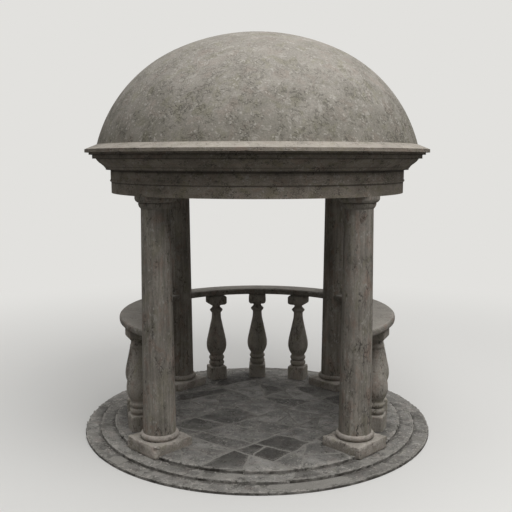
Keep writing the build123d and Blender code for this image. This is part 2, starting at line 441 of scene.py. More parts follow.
def split_stone(piece, index, dice):
    """Cut one stone in two across its length."""
    bm = bmesh.from_edit_mesh(piece.data)
    bm.faces.ensure_lookup_table()
    face = bm.faces[index]
    corners = [vert.co for vert in face.verts]
    along = max((b - a for a in corners for b in corners), key=lambda way: way.length)
    middle = face.calc_center_median_weighted() + along * dice.uniform(-SPLIT_SHIFT, SPLIT_SHIFT)
    turn = math.pi / 2 + dice.uniform(-SPLIT_TURN, SPLIT_TURN)
    course = (
        along.x * math.cos(turn) - along.y * math.sin(turn),
        along.x * math.sin(turn) + along.y * math.cos(turn),
    )
    cut(piece, lambda other: other.index == index, middle.xy, course)


def break_up(piece, largest, dice):
    """Split the stones until none is too large, then a few of the rest."""
    while True:
        bm = bmesh.from_edit_mesh(piece.data)
        bm.faces.index_update()
        areas = [face.calc_area() for face in bm.faces]
        if max(areas) < largest:
            break
        split_stone(piece, areas.index(max(areas)), dice)
    for _ in range(len(areas) // 4):
        bm = bmesh.from_edit_mesh(piece.data)
        bm.faces.index_update()
        split = [face.index for face in bm.faces if face.calc_area() > SPLIT_SHARE * largest]
        if split:
            split_stone(piece, dice.choice(split), dice)


def tone_stones(piece, dice, dark=()):
    """Give each stone its own shade as a face attribute."""
    bpy.ops.object.mode_set(mode="OBJECT")
    bm = bmesh.new()
    bm.from_mesh(piece.data)
    tones = [
        dice.uniform(*(DARK_TONES if any(holds(face, spot) for spot in dark) else TONES))
        for face in bm.faces
    ]
    bm.free()
    shade = piece.data.attributes.new("stone_tone", "FLOAT", "FACE")
    shade.data.foreach_set("value", tones)
    bpy.ops.object.mode_set(mode="EDIT")


def settle_stones(piece, dice):
    """Set each stone a little higher or lower and slightly out of level."""
    bm = bmesh.from_edit_mesh(piece.data)
    middles = [face.calc_center_median() for face in bm.faces]
    for index, middle in enumerate(middles):
        pick_faces(piece, lambda face: face.index == index)
        bpy.ops.transform.translate(value=(0, 0, dice.uniform(*SETTLING)))
        tilt = dice.uniform(-TILT, TILT)
        bpy.ops.transform.rotate(value=tilt, orient_axis=dice.choice("XY"), center_override=middle)


def outline_points(piece):
    """Points along the outlines of the chosen faces."""
    bm = bmesh.from_edit_mesh(piece.data)
    points = []
    for face in bm.faces:
        if face.select:
            for edge in face.edges:
                a, b = (vert.co for vert in edge.verts)
                count = int((b - a).length / OUTLINE_SPACING) + 1
                points += [a.lerp(b, step / count) for step in range(count + 1)]
    return points


def mark_rims(piece, points, reach):
    """Note at each point of a stone how near it is to a joint."""
    tree = KDTree(len(points))
    for index, point in enumerate(points):
        tree.insert((point.x, point.y, 0), index)
    tree.balance()
    nearness = [
        max(1 - tree.find((vert.co.x, vert.co.y, 0))[2] / reach, 0) for vert in piece.data.vertices
    ]
    rim = piece.data.attributes.new("stone_rim", "FLOAT", "POINT")
    rim.data.foreach_set("value", nearness)


def raise_stones(piece, joint, bottom, radius, settings, dice):
    """Turn cut outlines into separate stones with worn edges and wandering joints."""
    bpy.ops.mesh.select_all(action="SELECT")
    bpy.ops.mesh.inset(thickness=joint / 2, use_individual=True)
    bpy.ops.mesh.select_all(action="INVERT")
    bpy.ops.mesh.delete(type="FACE")
    set_order()
    bpy.ops.mesh.remove_doubles(threshold=SHORTEST_OPENED_SIDE)
    bm = bmesh.from_edit_mesh(piece.data)
    bm.faces.index_update()
    settle_stones(piece, dice)
    bpy.ops.mesh.select_all(action="SELECT")
    for width, rise in EASINGS:
        bpy.ops.mesh.inset(thickness=width, depth=rise, use_individual=True)
    outlines = outline_points(piece)
    bpy.ops.mesh.select_mode(type="EDGE")
    bpy.ops.mesh.select_all(action="DESELECT")
    bpy.ops.mesh.select_non_manifold(
        use_wire=False, use_multi_face=False, use_non_contiguous=False, use_verts=False
    )
    bpy.ops.mesh.extrude_region_move(TRANSFORM_OT_translate={"value": (0, 0, -0.01)})
    bpy.ops.transform.resize(value=(1, 1, 0), center_override=(0, 0, bottom))
    bpy.ops.mesh.select_all(action="SELECT")
    bpy.ops.mesh.fill_holes(sides=0)
    bpy.ops.mesh.select_mode(type="FACE")
    reach = int(radius / settings.grid) + 1
    for line in range(-reach, reach + 1):
        for across in ((1, 0, 0), (0, 1, 0)):
            spot = [(line + GRID_SHIFT) * settings.grid * share for share in across]
            bpy.ops.mesh.select_all(action="SELECT")
            bpy.ops.mesh.bisect(plane_co=spot, plane_no=across)
    bpy.ops.mesh.select_all(action="SELECT")
    bpy.ops.mesh.normals_make_consistent(inside=False)
    leave(piece)
    mark_rims(piece, outlines, settings.rim)
    top = max(vert.co.z for vert in piece.data.vertices)

    def nosing(spot):
        """Nearness of a point to the upper outer edge."""
        inwards = (spot.xy.length - radius + NOSING_REACH) / NOSING_FADE
        downwards = (spot.z - top + NOSING_DEPTH) / (NOSING_DEPTH / 2)
        return min(inwards, downwards)

    weigh(piece, "inner", lambda spot: (radius - spot.xy.length - STILL_EDGE) / STILL_FADE)
    weigh(piece, "nosing", nosing)
    displace(piece, "X", settings.wander, "BLENDER_ORIGINAL", WANDER_GRAIN, "inner")
    displace(piece, "Y", settings.wander, "IMPROVED_PERLIN", WANDER_GRAIN, "inner")
    chip(piece, settings.chip, NOSING_GRAIN, "nosing")
    bpy.ops.object.shade_smooth_by_angle(angle=SHARP_ANGLE)
    return piece


def lay_floor(settings, dice):
    """Irregular flagstones of the round floor."""
    start_clean()
    bpy.ops.mesh.primitive_circle_add(
        vertices=FLOOR_SIDES,
        radius=FLOOR_RADIUS + settings.joint / 2,
        fill_type="NGON",
        location=(0, 0, FLOOR_TOP - EASED_HEIGHT),
    )
    piece = bpy.context.object
    piece.name = "floor_flagstones"
    bpy.ops.object.transform_apply(location=True)
    edit(piece)
    for start, end in LEADING_JOINTS:
        lay_joint(piece, start, end)
    break_up(piece, settings.largest, dice)
    bpy.ops.mesh.select_all(action="SELECT")
    bpy.ops.mesh.remove_doubles(threshold=SHORTEST_SIDE)
    tone_stones(piece, dice, DARK_STONES)
    bpy.ops.mesh.select_all(action="SELECT")
    bpy.ops.mesh.edge_split(type="EDGE")
    return raise_stones(piece, settings.joint, MIDDLE_TOP - CLEARANCE, FLOOR_RADIUS, settings, dice)


def lay_step(name, radius, inner_radius, top, bottom, count, settings, dice):
    """Ring of step stones with skewed joints."""
    start_clean()
    outer = radius + settings.step_joint / 2
    bpy.ops.mesh.primitive_circle_add(
        vertices=STEP_SIDES, radius=inner_radius, location=(0, 0, top - EASED_HEIGHT)
    )
    piece = bpy.context.object
    piece.name = name
    bpy.ops.object.transform_apply(location=True)
    edit(piece)
    bpy.ops.mesh.select_mode(type="EDGE")
    bpy.ops.mesh.select_all(action="SELECT")
    bpy.ops.mesh.extrude_region_move(TRANSFORM_OT_translate={"value": (0, 0, 0)})
    share = outer / inner_radius
    bpy.ops.transform.resize(value=(share, share, 1), center_override=(0, 0, 0))
    bpy.ops.mesh.select_mode(type="FACE")
    bpy.ops.mesh.select_all(action="SELECT")
    bpy.ops.mesh.normals_make_consistent(inside=False)
    bm = bmesh.from_edit_mesh(piece.data)
    if next(iter(bm.faces)).normal.z < 0:
        bpy.ops.mesh.flip_normals()
    azimuth = dice.uniform(0, FIRST_STEP_JOINT)
    middle = (outer + inner_radius) / 2
    for turn in range(count):
        swing = azimuth + (turn + dice.uniform(-STEP_SPACING, STEP_SPACING)) * math.tau / count
        out = Vector((math.cos(swing), math.sin(swing), 0))
        skew = swing + dice.uniform(-STEP_SKEW, STEP_SKEW)
        cut(
            piece,
            lambda face: face.calc_center_median().normalized().dot(out) > STEP_CUT_REACH,
            out.xy * middle,
            (math.cos(skew), math.sin(skew)),
        )
        bpy.ops.mesh.mark_seam(clear=False)
    set_order()
    bpy.ops.mesh.remove_doubles(threshold=SHORTEST_SIDE)
    pick_edges(piece, lambda edge: edge.seam)
    bpy.ops.mesh.edge_split(type="EDGE")
    bpy.ops.mesh.select_mode(type="FACE")
    bpy.ops.mesh.select_all(action="SELECT")
    bpy.ops.mesh.dissolve_faces()
    set_order()
    tone_stones(piece, dice)
    return raise_stones(piece, settings.step_joint, bottom, radius, settings, dice)


def lay_mortar(settings):
    """Stepped bed that shows in the joints."""
    points = [(0, CLEARANCE)]
    level = CLEARANCE
    for radius, top in ((LOWER_RADIUS, LOWER_TOP), (MIDDLE_RADIUS, MIDDLE_TOP), (FLOOR_RADIUS, FLOOR_TOP)):
        edge = radius - settings.mortar_setback
        points.append((edge, level))
        level = top - settings.mortar_depth
        points.append((edge, level))
    points.append((0, level))
    return turn_profile("mortar_bed", points, MORTAR_SIDES)


# Plinths


def carve_plinth(corner, settings):
    """Square block with chipped edges, turned to face the middle."""
    start_clean()
    low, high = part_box(f"{corner}_plinth")
    middle = (low + high) / 2
    bpy.ops.mesh.primitive_cube_add(size=1, location=middle, rotation=(0, 0, math.pi / 4))
    piece = bpy.context.object
    piece.name = f"{corner}_worn_plinth"
    bpy.ops.transform.resize(value=(settings.side, settings.side, high.z - low.z))
    bpy.ops.object.transform_apply(location=False, rotation=False, scale=True)
    edit(piece)
    pick_edges(piece, lambda edge: any(vert.co.z > 0 for vert in edge.verts))
    bpy.ops.mesh.bevel(offset=settings.rounding, segments=3)
    leave(piece)
    bpy.ops.object.modifier_add(type="REMESH")
    remesh = piece.modifiers[-1]
    remesh.mode = "VOXEL"
    remesh.voxel_size = settings.grain
    bpy.ops.object.modifier_apply(modifier=remesh.name)
    bpy.ops.object.transform_apply(location=True, rotation=True, scale=True)

    def edge_wear(spot):
        """Nearness of a point to the edges of the block."""
        out = spot - middle
        sides = (abs(out.x + out.y) / math.sqrt(2), abs(out.x - out.y) / math.sqrt(2))
        depths = sorted((*(settings.side / 2 - side for side in sides), high.z - spot.z))
        return 1 - depths[1] / settings.wear_reach

    weigh(piece, "edges", edge_wear)
    chip(piece, settings.wear, PLINTH_GRAIN, "edges")
    if corner in BROKEN_CORNERS:
        broken = BROKEN_CORNERS[corner]
        weigh(piece, "broken", lambda spot: 1 - (spot - broken).length / settings.break_reach)
        displace(piece, "Y", settings.break_depth, "IMPROVED_PERLIN", BREAK_GRAIN, "broken", level=0.0)
    bpy.ops.object.shade_smooth_by_angle(angle=SHARP_ANGLE)
    return piece


# Finishes


class Recipe:
    """Node tree with short calls for adding and joining nodes."""

    def __init__(self, tree):
        self.tree = tree

    def add(self, kind, settings=(), **sockets):
        """New node, with its settings and its input sockets filled or linked."""
        node = self.tree.nodes.new(kind)
        for key, value in dict(settings).items():
            setattr(node, key, value)
        for key, value in sockets.items():
            self.fill(node.inputs[key.replace("_", " ")], value)
        return node

    def fill(self, socket, value):
        """Link a socket to another, or set its value."""
        if isinstance(value, bpy.types.NodeSocket):
            self.tree.links.new(value, socket)
        elif socket.type == "RGBA" and len(value) == 3:
            socket.default_value = (*value, 1)
        else:
            socket.default_value = value

    def sums(self, operation, first, second):
        """Arithmetic on two values."""
        node = self.add("ShaderNodeMath", {"operation": operation})
        self.fill(node.inputs[0], first)
        self.fill(node.inputs[1], second)
        return node.outputs[0]

    def fade(self, value, low, high, start=0.0, end=1.0):
        """Smooth step from start to end as a value goes from low to high."""
        node = self.add("ShaderNodeMapRange", {"interpolation_type": "SMOOTHSTEP"})
        for socket, given in zip(node.inputs, (value, low, high, start, end)):
            self.fill(socket, given)
        return node.outputs[0]

    def blend(self, share, first, second, way="MIX"):
        """Mix of two colours."""
        node = self.add("ShaderNodeMix", {"data_type": "RGBA", "blend_type": way})
        self.fill(node.inputs[0], share)
        self.fill(node.inputs[6], first)
        self.fill(node.inputs[7], second)
        return node.outputs[2]

    def off(self, value, level):
        """How far a value is from a level."""
        return self.sums("ABSOLUTE", self.sums("SUBTRACT", value, level), 0.0)

    def product(self, first, second):
        """Two values multiplied."""
        return self.sums("MULTIPLY", first, second)

    def place(self):
        """Coordinates of a point on the object."""
        return self.add("ShaderNodeTexCoord").outputs["Object"]

    def axes(self, vector):
        """The X, Y and Z of a vector."""
        return self.add("ShaderNodeSeparateXYZ", Vector=vector).outputs

    def distance(self, vector):
        """Length of a vector."""
        node = self.add("ShaderNodeVectorMath", {"operation": "LENGTH"})
        self.fill(node.inputs[0], vector)
        return node.outputs["Value"]

    def upward(self):
        """How far a face looks up, from -1 to 1."""
        return self.axes(self.add("ShaderNodeNewGeometry").outputs["True Normal"])["Z"]

    def noise(self, vector, scale, detail, roughness, distortion=0.0):
        """Cloudy noise between 0 and 1."""
        sockets = {"Scale": scale, "Detail": detail, "Roughness": roughness, "Distortion": distortion}
        return self.add("ShaderNodeTexNoise", Vector=vector, **sockets).outputs[0]

    def cells(self, vector, scale, feature):
        """Outputs of a cell pattern."""
        return self.add("ShaderNodeTexVoronoi", {"feature": feature}, Vector=vector, Scale=scale).outputs

    def bent(self, vector, scale, share):
        """Coordinates pushed about by noise, by a share of its grain."""
        push = self.add("ShaderNodeTexNoise", Vector=vector, Scale=scale, Detail=2.0).outputs["Color"]
        push = self.vector("SUBTRACT", push, (0.5, 0.5, 0.5))
        reach = self.sums("DIVIDE", share, scale)
        reach = self.add("ShaderNodeCombineXYZ", X=reach, Y=reach, Z=reach).outputs[0]
        return self.vector("ADD", vector, self.vector("MULTIPLY", push, reach))

    def vector(self, operation, first, second):
        """Arithmetic on two vectors."""
        node = self.add("ShaderNodeVectorMath", {"operation": operation})
        self.fill(node.inputs[0], first)
        self.fill(node.inputs[1], second)
        return node.outputs[0]

    def grey(self, value):
        """Grey colour of a value."""
        return self.add("ShaderNodeCombineColor", Red=value, Green=value, Blue=value).outputs[0]

    def darken(self, share, tint, cast):
        """Colour multiplied by a share of a cast."""
        return self.blend(share, tint, cast, "MULTIPLY")

    def stretch(self, vector, scale, shift=(0, 0, 0)):
        """Coordinates scaled along each axis and shifted."""
        return self.add("ShaderNodeMapping", Vector=vector, Scale=scale, Location=shift).outputs[0]

    def show(self, share, first, second, output):
        """Put out a mix of two shaders."""
        mixed = self.add("ShaderNodeMixShader", Fac=share)
        self.fill(mixed.inputs[1], first.outputs[0])
        self.fill(mixed.inputs[2], second.outputs[0])
        self.fill(self.tree.nodes[output].inputs["Surface"], mixed.outputs[0])


def make_group(name, inputs, outputs):
    """Empty node group with named sockets, and its ends."""
    group = bpy.data.node_groups.new(name, "ShaderNodeTree")
    for label, kind, default in inputs:
        socket = group.interface.new_socket(name=label, in_out="INPUT", socket_type=kind)
        if default is not None:
            socket.default_value = default
    for label in outputs:
        group.interface.new_socket(name=label, in_out="OUTPUT", socket_type="NodeSocketFloat")
    start = group.nodes.new("NodeGroupInput")
    end = group.nodes.new("NodeGroupOutput")
    return group, Recipe(group), start.outputs, end.inputs


# What the stone face puts out
STONE_FACE = ("Patch", "Cast", "Stain", "Cracks", "Flecks", "Grain", "Height")

# Shifts that keep the noises of a stone face apart
NOISE_SHIFTS = ((0, 0, 0), (6.1, 0.7, 8.3), (3.1, 5.7, 1.3), (7.9, 2.3, 4.1), (1.7, 4.3, 2.9), (2.2, 9.4, 5.5))


def stone_face_group():
    """Tones, crackle, pale flecks and grain that every stone shares."""
    if "stone_face" in bpy.data.node_groups:
        return bpy.data.node_groups["stone_face"]
    group, recipe, given, wanted = make_group(
        "stone_face",
        (
            ("Vector", "NodeSocketVector", None),
            ("Patch Scale", "NodeSocketFloat", 3.0),
            ("Grain Scale", "NodeSocketFloat", 30.0),
            ("Crack Share", "NodeSocketFloat", 0.5),
            ("Fleck Share", "NodeSocketFloat", 0.5),
        ),
        STONE_FACE,
    )
    spots = [recipe.stretch(given["Vector"], (1, 1, 1), shift) for shift in NOISE_SHIFTS]
    patch_scale, grain_scale = given["Patch Scale"], given["Grain Scale"]

    def crowd(spot, share):
        """Mask of the patches where marks crowd together."""
        level = recipe.noise(spot, recipe.product(patch_scale, 1.7), 5, 0.65)
        start = recipe.sums("SUBTRACT", 0.58, recipe.product(share, 0.24))
        return recipe.fade(level, start, recipe.sums("ADD", start, 0.14))

    patch = recipe.noise(spots[0], patch_scale, 6, 0.62, 0.5)
    cast = recipe.noise(spots[1], recipe.product(patch_scale, 1.8), 5, 0.6, 0.6)
    bent = recipe.bent(spots[3], grain_scale, 1.2)
    edges = recipe.cells(bent, grain_scale, "DISTANCE_TO_EDGE")["Distance"]
    broken = recipe.fade(recipe.noise(spots[4], grain_scale, 2, 0.55), 0.46, 0.54)
    lines = recipe.product(recipe.fade(edges, 0.16, 0.05), broken)
    pits = recipe.noise(spots[2], recipe.product(grain_scale, 1.3), 3, 0.65, 0.7)
    pits = recipe.fade(pits, 0.58, 0.66)
    stain = crowd(spots[2], given["Crack Share"])
    cracks = recipe.product(recipe.sums("MAXIMUM", lines, pits), stain)
    cell = recipe.cells(recipe.bent(spots[5], grain_scale, 1.5), recipe.product(grain_scale, 1.2), "F1")
    picked = recipe.add("ShaderNodeSeparateColor", Color=cell["Color"]).outputs["Red"]
    flecks = recipe.product(recipe.fade(picked, 0.62, 0.72), recipe.fade(cell["Distance"], 0.5, 0.28))
    chips = recipe.noise(spots[0], recipe.product(grain_scale, 0.42), 4, 0.65, 0.8)
    flecks = recipe.sums("MAXIMUM", flecks, recipe.fade(chips, 0.58, 0.63, 0.0, 0.65))
    flecks = recipe.product(flecks, crowd(spots[4], given["Fleck Share"]))
    grain = recipe.noise(spots[5], recipe.product(grain_scale, 2.4), 3, 0.7)
    height = recipe.sums("ADD", recipe.product(patch, 0.6), recipe.product(grain, 0.3))
    height = recipe.sums("ADD", height, recipe.product(flecks, 0.25))
    height = recipe.sums("SUBTRACT", height, recipe.product(cracks, 0.8))
    for label, value in zip(STONE_FACE, (patch, cast, stain, cracks, flecks, grain, height)):
        recipe.fill(wanted[label], value)
    return group


def stone_face(recipe, vector, patch, grain, cracks, flecks):
    """Outputs of a stone face with its own values."""
    sockets = {"Patch_Scale": patch, "Grain_Scale": grain, "Crack_Share": cracks, "Fleck_Share": flecks}
    return recipe.add("ShaderNodeGroup", {"node_tree": stone_face_group()}, Vector=vector, **sockets).outputs


def scaled(shade, share):
    """Colour made lighter or darker."""
    return tuple(min(channel * share, 1) for channel in shade)


def new_material(name):
    """Material with an empty tree, its recipe and its shader."""
    material = bpy.data.materials.new(name)
    material.use_nodes = True
    recipe = Recipe(material.node_tree)
    shader = material.node_tree.nodes["Principled BSDF"]
    shader.inputs["Specular IOR Level"].default_value = 0.22
    return material, recipe, shader


def surface(recipe, shader, tint, grain, smoothest, roughest, height, relief, depth):
    """Give a shader its colour, its roughness by a grain and its relief by a height."""
    recipe.fill(shader.inputs["Base Color"], tint)
    recipe.fill(shader.inputs["Roughness"], recipe.fade(grain, 0.2, 0.8, smoothest, roughest))
    bump = recipe.add("ShaderNodeBump", Height=height, Strength=relief, Distance=depth)
    recipe.fill(shader.inputs["Normal"], bump.outputs[0])


def spread(recipe, value, reach):
    """Noise spread evenly from minus to plus a reach."""
    return recipe.fade(value, 0.3, 0.7, -reach, reach)


def mottle(recipe, face, tint, stone, moss, blush, contrast, grit):
    """Colour broken up by tone, by olive and pinkish casts and by grain."""
    tone = recipe.fade(face["Patch"], 0.3, 0.7, 1 - contrast, 1 + contrast)
    tone = recipe.product(tone, recipe.fade(face["Grain"], 0.3, 0.7, 1 - grit, 1 + grit))
    tint = recipe.darken(1.0, tint, recipe.grey(tone))
    tint = recipe.darken(recipe.fade(face["Cast"], 0.5, 0.34, 0.0, moss), tint, stone.moss)
    return recipe.darken(recipe.fade(face["Cast"], 0.5, 0.66, 0.0, blush), tint, stone.blush)


def split_shaft(recipe, place, tint, stone):
    """Jagged crack up the foot of the front right shaft."""
    side = recipe.axes(place)
    jagged = recipe.sums("ADD", side["X"], spread(recipe, recipe.noise(place, 34.0, 4, 0.7), 0.014))
    line = recipe.fade(recipe.off(jagged, SHAFT_CRACK.x), 0.009, 0.003, 0.0, 0.8)
    front = recipe.fade(side["Y"], SHAFT_CRACK.y, SHAFT_CRACK.y - 0.03)
    below = recipe.fade(side["Z"], SHAFT_CRACK.z, SHAFT_CRACK.z - 0.03)
    line = recipe.product(line, recipe.product(front, below))
    return recipe.blend(line, tint, scaled(stone.crack, 0.6))


def weathered_stone(
    name, main, stone, patch, grain, cracks, flecks, moss, blush, contrast=0.18, grit=0.18, length_share=1.0,
    top_light_and_bleach=0.3, calm=0.0, dark=0.6, stain=0.0, bump=0.5, streaks=0.0, soil=None, crease_shade=(), split=False,
):
    """Finish of one kind of stone: mottled, crackled and flecked, painted paler on top as light and bleaching,
    with painted shade in its creases.
    """
    if name in bpy.data.materials:
        return bpy.data.materials[name]
    material, recipe, shader = new_material(name)
    place = recipe.place()
    face = stone_face(recipe, recipe.stretch(place, (1, 1, length_share)), patch, grain, cracks, flecks)
    tint = mottle(recipe, face, main, stone, moss, blush, contrast, grit)
    if streaks:
        lines = recipe.noise(recipe.stretch(place, (1, 1, 0.05)), 42.0, 3, 0.6)
        lines = recipe.fade(lines, 0.35, 0.65, 1 - streaks, 1 + streaks)
        tint = recipe.darken(1.0, tint, recipe.grey(lines))
    level = recipe.axes(place)["Z"]
    if soil:
        low, high, share = soil
        patchy = recipe.sums("ADD", level, spread(recipe, face["Patch"], 0.15))
        tint = recipe.darken(recipe.fade(patchy, low, high, share, 0.0), tint, scaled(stone.moss, 0.5))
    upward = recipe.upward()
    # Upward faces painted paler: painted light, with some bleaching
    tint = recipe.blend(recipe.fade(upward, 0.6, 0.98, 0.0, top_light_and_bleach), tint, stone.lit_and_bleached)
    tint = recipe.blend(recipe.product(face["Flecks"], 0.55), tint, stone.lit_and_bleached)
    washed = recipe.fade(upward, 0.4, 0.95, 1.0, 1 - calm)
    tint = recipe.blend(recipe.product(face["Cracks"], recipe.product(washed, dark)), tint, stone.crack)
    if stain:
        wide = recipe.product(face["Stain"], recipe.product(washed, stain))
        tint = recipe.darken(wide, tint, scaled(stone.moss, 0.6))
    # Painted shade along the creases between the mouldings
    for crease_level, reach, share in crease_shade:
        crease_shade_share = recipe.fade(recipe.off(level, crease_level), reach, reach / 3, 0.0, share)
        tint = recipe.blend(crease_shade_share, tint, stone.crack)
    if split:
        tint = split_shaft(recipe, place, tint, stone)
    surface(recipe, shader, tint, face["Grain"], 0.74, 0.95, face["Height"], bump, 0.01)
    return material


def flagstone(settings, stone):
    """Finish of the paving: each stone has its own shade, a paler rim and worn edges on the steps."""
    if "flagstone" in bpy.data.materials:
        return bpy.data.materials["flagstone"]
    material, recipe, shader = new_material("flagstone")
    place = recipe.place()
    tone = recipe.add("ShaderNodeAttribute", {"attribute_name": "stone_tone"}).outputs["Fac"]
    rim = recipe.add("ShaderNodeAttribute", {"attribute_name": "stone_rim"}).outputs["Fac"]
    far = recipe.product(tone, 37.0)
    own = recipe.vector("ADD", place, recipe.add("ShaderNodeCombineXYZ", X=far, Y=far).outputs[0])
    face = stone_face(recipe, own, 5.0, 30.0, 0.5, 0.75)
    away = recipe.distance(recipe.vector("MULTIPLY", place, (1, 1, 0)))
    tread = recipe.fade(away, FLOOR_RADIUS - 0.12, FLOOR_RADIUS + 0.01)
    base = recipe.blend(tone, settings.dark, settings.pale)
    base = recipe.blend(recipe.product(tread, 0.3), base, settings.tread)
    tint = mottle(recipe, face, base, stone, moss=0.25, blush=0.35, contrast=0.3, grit=0.18)

    # Crumbly rims along the joints
    ragged = recipe.sums("ADD", rim, spread(recipe, face["Patch"], 0.35))
    ragged = recipe.sums("ADD", ragged, spread(recipe, face["Grain"], 0.35))
    tint = recipe.blend(recipe.fade(ragged, 0.5, 1.1, 0.0, 0.32), tint, settings.mortar)

    # Pale worn nosings
    for radius in (FLOOR_RADIUS, MIDDLE_RADIUS, LOWER_RADIUS):
        gap = recipe.off(away, radius - 0.012)
        gap = recipe.sums("ADD", gap, recipe.fade(face["Cast"], 0.35, 0.65, 0.025, -0.02))
        tint = recipe.blend(recipe.fade(gap, 0.02, 0.006, 0.0, 0.26), tint, stone.lit_and_bleached)

    # Painted shade, with some soiling, at the foot of each step
    for radius in (FLOOR_RADIUS, MIDDLE_RADIUS):
        past = recipe.sums("SUBTRACT", away, radius)
        ragged = recipe.sums("ADD", past, spread(recipe, face["Patch"], 0.012))
        dirt_and_shade = recipe.product(recipe.fade(past, -0.002, 0.004), recipe.fade(ragged, 0.036, 0.006, 0.0, 0.5))
        tint = recipe.blend(dirt_and_shade, tint, stone.crack)
    flecks = recipe.product(face["Flecks"], recipe.fade(tread, 0.0, 1.0, 0.38, 0.6))
    flecks = recipe.product(flecks, recipe.fade(tone, 0.1, 0.4, 0.3, 1.0))
    tint = recipe.blend(flecks, tint, stone.lit_and_bleached)
    tint = recipe.blend(recipe.product(face["Cracks"], 0.55), tint, stone.crack)

    # Painted shade, with some soiling, on the risers
    riser_shade = recipe.fade(recipe.upward(), 0.25, 0.75, 1.0, 0.0)
    riser_shade = recipe.product(riser_shade, recipe.fade(face["Patch"], 0.36, 0.62, 0.75, 0.35))
    tint = recipe.blend(riser_shade, tint, stone.crack)
    surface(recipe, shader, tint, face["Grain"], 0.68, 0.92, face["Height"], 0.6, 0.01)
    return material


def mortar_finish(settings, stone):
    """Finish of the pale sandy joints."""
    if "mortar" in bpy.data.materials:
        return bpy.data.materials["mortar"]
    material, recipe, shader = new_material("mortar")
    place = recipe.place()
    sand = recipe.noise(place, 140.0, 4, 0.7)
    # Patchy darkening of the mortar, weaker towards the front edge
    dirt_and_shade = recipe.fade(recipe.noise(place, 5.0, 5, 0.6), 0.4, 0.6, 0.2, 0.9)
    dirt_and_shade = recipe.product(dirt_and_shade, recipe.fade(recipe.axes(place)["Y"], -1.0, -0.3, 0.35, 1.0))
    dark, pale = scaled(settings.mortar, 0.75), scaled(settings.mortar, 1.15)
    tint = recipe.blend(recipe.fade(sand, 0.3, 0.7), dark, pale)
    tint = recipe.blend(dirt_and_shade, tint, recipe.blend(0.5, stone.crack, tint))
    surface(recipe, shader, tint, sand, 0.8, 1.0, sand, 0.4, 0.004)
    return material


# Operators


class ROTUNDA_OT_lay_paving(bpy.types.Operator):
    """Lay the floor, the two steps and the mortar between their stones"""

    bl_idname = "rotunda.lay_paving"
    bl_label = "Lay Paving"

    def execute(self, context):
        settings = context.scene.rotunda_paving
        stone = context.scene.rotunda_stone
        finish = flagstone(settings, stone)
        floor = lay_floor(settings, random.Random(settings.seed))
        dress(floor, finish, "paving_stone", "floor_slab")
        dice = random.Random(settings.step_seed)
        reach = (MIDDLE_RADIUS, FLOOR_RADIUS - UNDERLAP)
        levels = (MIDDLE_TOP, LOWER_TOP - CLEARANCE)
        middle = lay_step("middle_step_stones", *reach, *levels, MIDDLE_STONES, settings, dice)
        dress(middle, finish, "paving_stone", "middle_step")
        reach = (LOWER_RADIUS, MIDDLE_RADIUS - UNDERLAP)
        levels = (LOWER_TOP, 0.0)
        lower = lay_step("lower_step_stones", *reach, *levels, LOWER_STONES, settings, dice)
        dress(lower, finish, "paving_stone", "lower_step")
        dress(lay_mortar(settings), mortar_finish(settings, stone), "paving_stone")
        return {"FINISHED"}


class ROTUNDA_OT_finish_columns(bpy.types.Operator):
    """Carve the worn plinths and weather the four columns"""

    bl_idname = "rotunda.finish_columns"
    bl_label = "Finish Columns"

    def execute(self, context):
        stone = context.scene.rotunda_stone
        shaft = weathered_stone(
            "streaked_travertine", stone.column, stone, patch=6.0, grain=42.0, cracks=0.38, flecks=0.6,
            moss=0.4, blush=0.8, grit=0.11, length_share=0.46, bump=0.6, streaks=0.16, soil=(0.2, 0.9, 0.05),
            split=True,
        )
        footing = weathered_stone(
            "pale_travertine", stone.footing, stone, patch=7.0, grain=34.0, cracks=0.3, flecks=0.6, moss=0.4,
            blush=0.4, top_light_and_bleach=0.25, soil=(0.05, 0.2, 0.2),
        )
        for corner in CORNERS:
            coat(shaft, f"{corner}_shaft", f"{corner}_capital")
            coat(footing, f"{corner}_base")
            plinth = carve_plinth(corner, context.scene.rotunda_plinths)
            dress(plinth, footing, "column_stone", f"{corner}_plinth")
        return {"FINISHED"}


class ROTUNDA_OT_finish_balustrade(bpy.types.Operator):
    """Weather the balusters and the handrails"""

    bl_idname = "rotunda.finish_balustrade"
    bl_label = "Finish Balustrade"

    def execute(self, context):
        stone = context.scene.rotunda_stone
        turned = weathered_stone(
            "balustrade_limestone", stone.balustrade, stone, patch=6.0, grain=44.0, cracks=0.45, flecks=0.55,
            moss=0.4, blush=0.5, length_share=0.5,
        )
        # Rails in a darker copy of the balustrade stone: painted shade, with their tops painted paler again
        shaded_handrail = weathered_stone(
            "handrail_painted_shade_limestone", scaled(stone.balustrade, 0.72), stone, patch=6.0, grain=40.0, cracks=0.4,
            flecks=0.8, moss=0.3, blush=0.8, top_light_and_bleach=0.45, calm=0.4,
        )
        coat(turned, *BALUSTERS)
        coat(shaded_handrail, *RAILS)
        return {"FINISHED"}


class ROTUNDA_OT_finish_entablature(bpy.types.Operator):
    """Weather the architrave and the cornice"""

    bl_idname = "rotunda.finish_entablature"
    bl_label = "Finish Entablature"

    def execute(self, context):
        stone = context.scene.rotunda_stone
        finish = weathered_stone(
            "stained_limestone", stone.entablature, stone, patch=5.0, grain=40.0, cracks=0.5, flecks=0.5,
            moss=0.5, blush=0.5, contrast=0.2, length_share=1.4, top_light_and_bleach=0.36, calm=0.4,
            crease_shade=ENTABLATURE_CREASE_SHADE,
        )
        coat(finish, *[f"{side}_architrave" for side in QUARTERS])
        coat(finish, *[f"{corner}_cornice" for corner in CORNERS])
        return {"FINISHED"}


